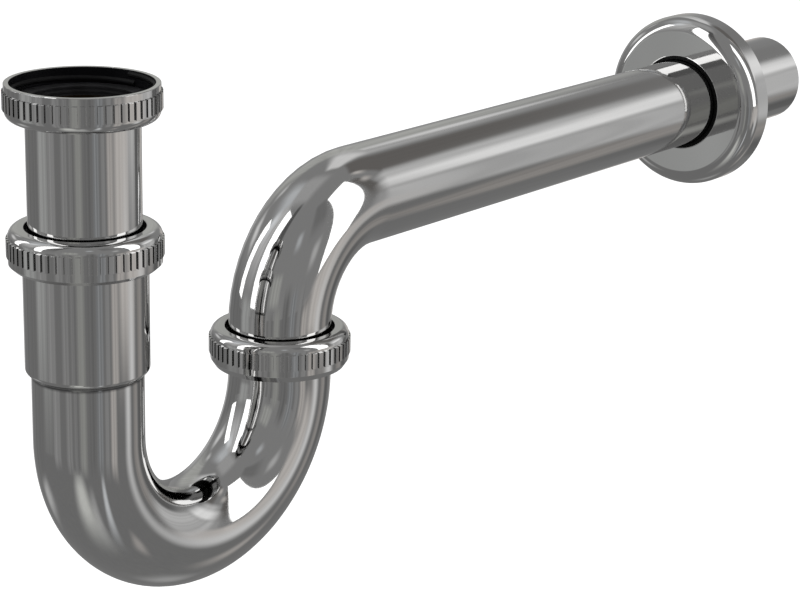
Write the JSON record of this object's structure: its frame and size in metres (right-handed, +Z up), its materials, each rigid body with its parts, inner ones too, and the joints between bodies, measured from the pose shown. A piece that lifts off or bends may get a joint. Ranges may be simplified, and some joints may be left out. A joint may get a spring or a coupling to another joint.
{
  "type": "tubular basin trap",
  "caption": "Chromed tubular basin trap: knurled coupling nuts, adjustable inlet tube, U-bend, swivelling outlet bend and long outlet tube through a sliding wall rosette.",
  "frame": {"origin": "on the inlet axis, on the top face of the inlet gasket, where the tail of the basin waste seats", "axes": "+Z up along the inlet axis out of the top nut, +X along the outlet tube towards the wall"},
  "size_m": [0.3883, 0.064, 0.1604],
  "materials": {
    "chrome": "mirror-polished chrome plate on brass",
    "rubber": "black rubber",
    "black_plastic": "smooth black plastic",
    "brass": "turned brass, hidden inside the nuts"
  },
  "bodies": {
    "inlet_coupling": {"top_nut": "chrome", "inlet_gasket": "rubber"},
    "inlet": {"inlet_tube": "chrome"},
    "trap": {"u_bend": "chrome", "socket_ferrule": "brass", "middle_seal": "rubber", "outlet_ferrule": "brass", "outlet_gasket": "rubber"},
    "middle_ring": {"middle_slip_ring": "black_plastic"},
    "middle_coupling": {"middle_nut": "chrome"},
    "outlet_ring": {"outlet_slip_ring": "black_plastic"},
    "outlet_coupling": {"outlet_nut": "chrome"},
    "outlet": {"outlet_tube": "chrome"},
    "rosette": {"wall_rosette": "chrome", "rosette_ring": "rubber"}
  },
  "joints": [
    {"name": "inlet_swivel", "type": "hinge", "parent": "inlet_coupling", "child": "inlet", "pos_m": [0, 0, 0], "axis": [0, 0, 1], "continuous": true},
    {"name": "height_adjustment", "type": "slide", "parent": "inlet", "child": "trap", "axis": [0, 0, 1], "range_m": [-0.012, 0.011]},
    {"name": "middle_nut_travel", "type": "slide", "parent": "trap", "child": "middle_ring", "axis": [0, 0, 1], "range_m": [0, 0.0055]},
    {"name": "middle_nut_turn", "type": "hinge", "parent": "middle_ring", "child": "middle_coupling", "pos_m": [0, 0, -0.042], "axis": [0, 0, 1], "range_deg": [0, 856]},
    {"name": "outlet_nut_travel", "type": "slide", "parent": "trap", "child": "outlet_ring", "axis": [0, 0, 1], "range_m": [0, 0.0055]},
    {"name": "outlet_nut_turn", "type": "hinge", "parent": "outlet_ring", "child": "outlet_coupling", "pos_m": [0.0812, 0, -0.091], "axis": [0, 0, 1], "range_deg": [0, 856]},
    {"name": "outlet_swivel", "type": "hinge", "parent": "trap", "child": "outlet", "pos_m": [0.0812, 0, -0.0885], "axis": [0, 0, 1], "range_deg": [-135, 135]},
    {"name": "rosette_slide", "type": "slide", "parent": "outlet", "child": "rosette", "axis": [1, 0, 0], "range_m": [-0.16, 0.045]}
  ],
  "couplings": [
    {"joint": "middle_nut_travel", "follows": "middle_nut_turn", "m_per_rad": 0.00036749},
    {"joint": "outlet_nut_travel", "follows": "outlet_nut_turn", "m_per_rad": 0.00036749}
  ]
}
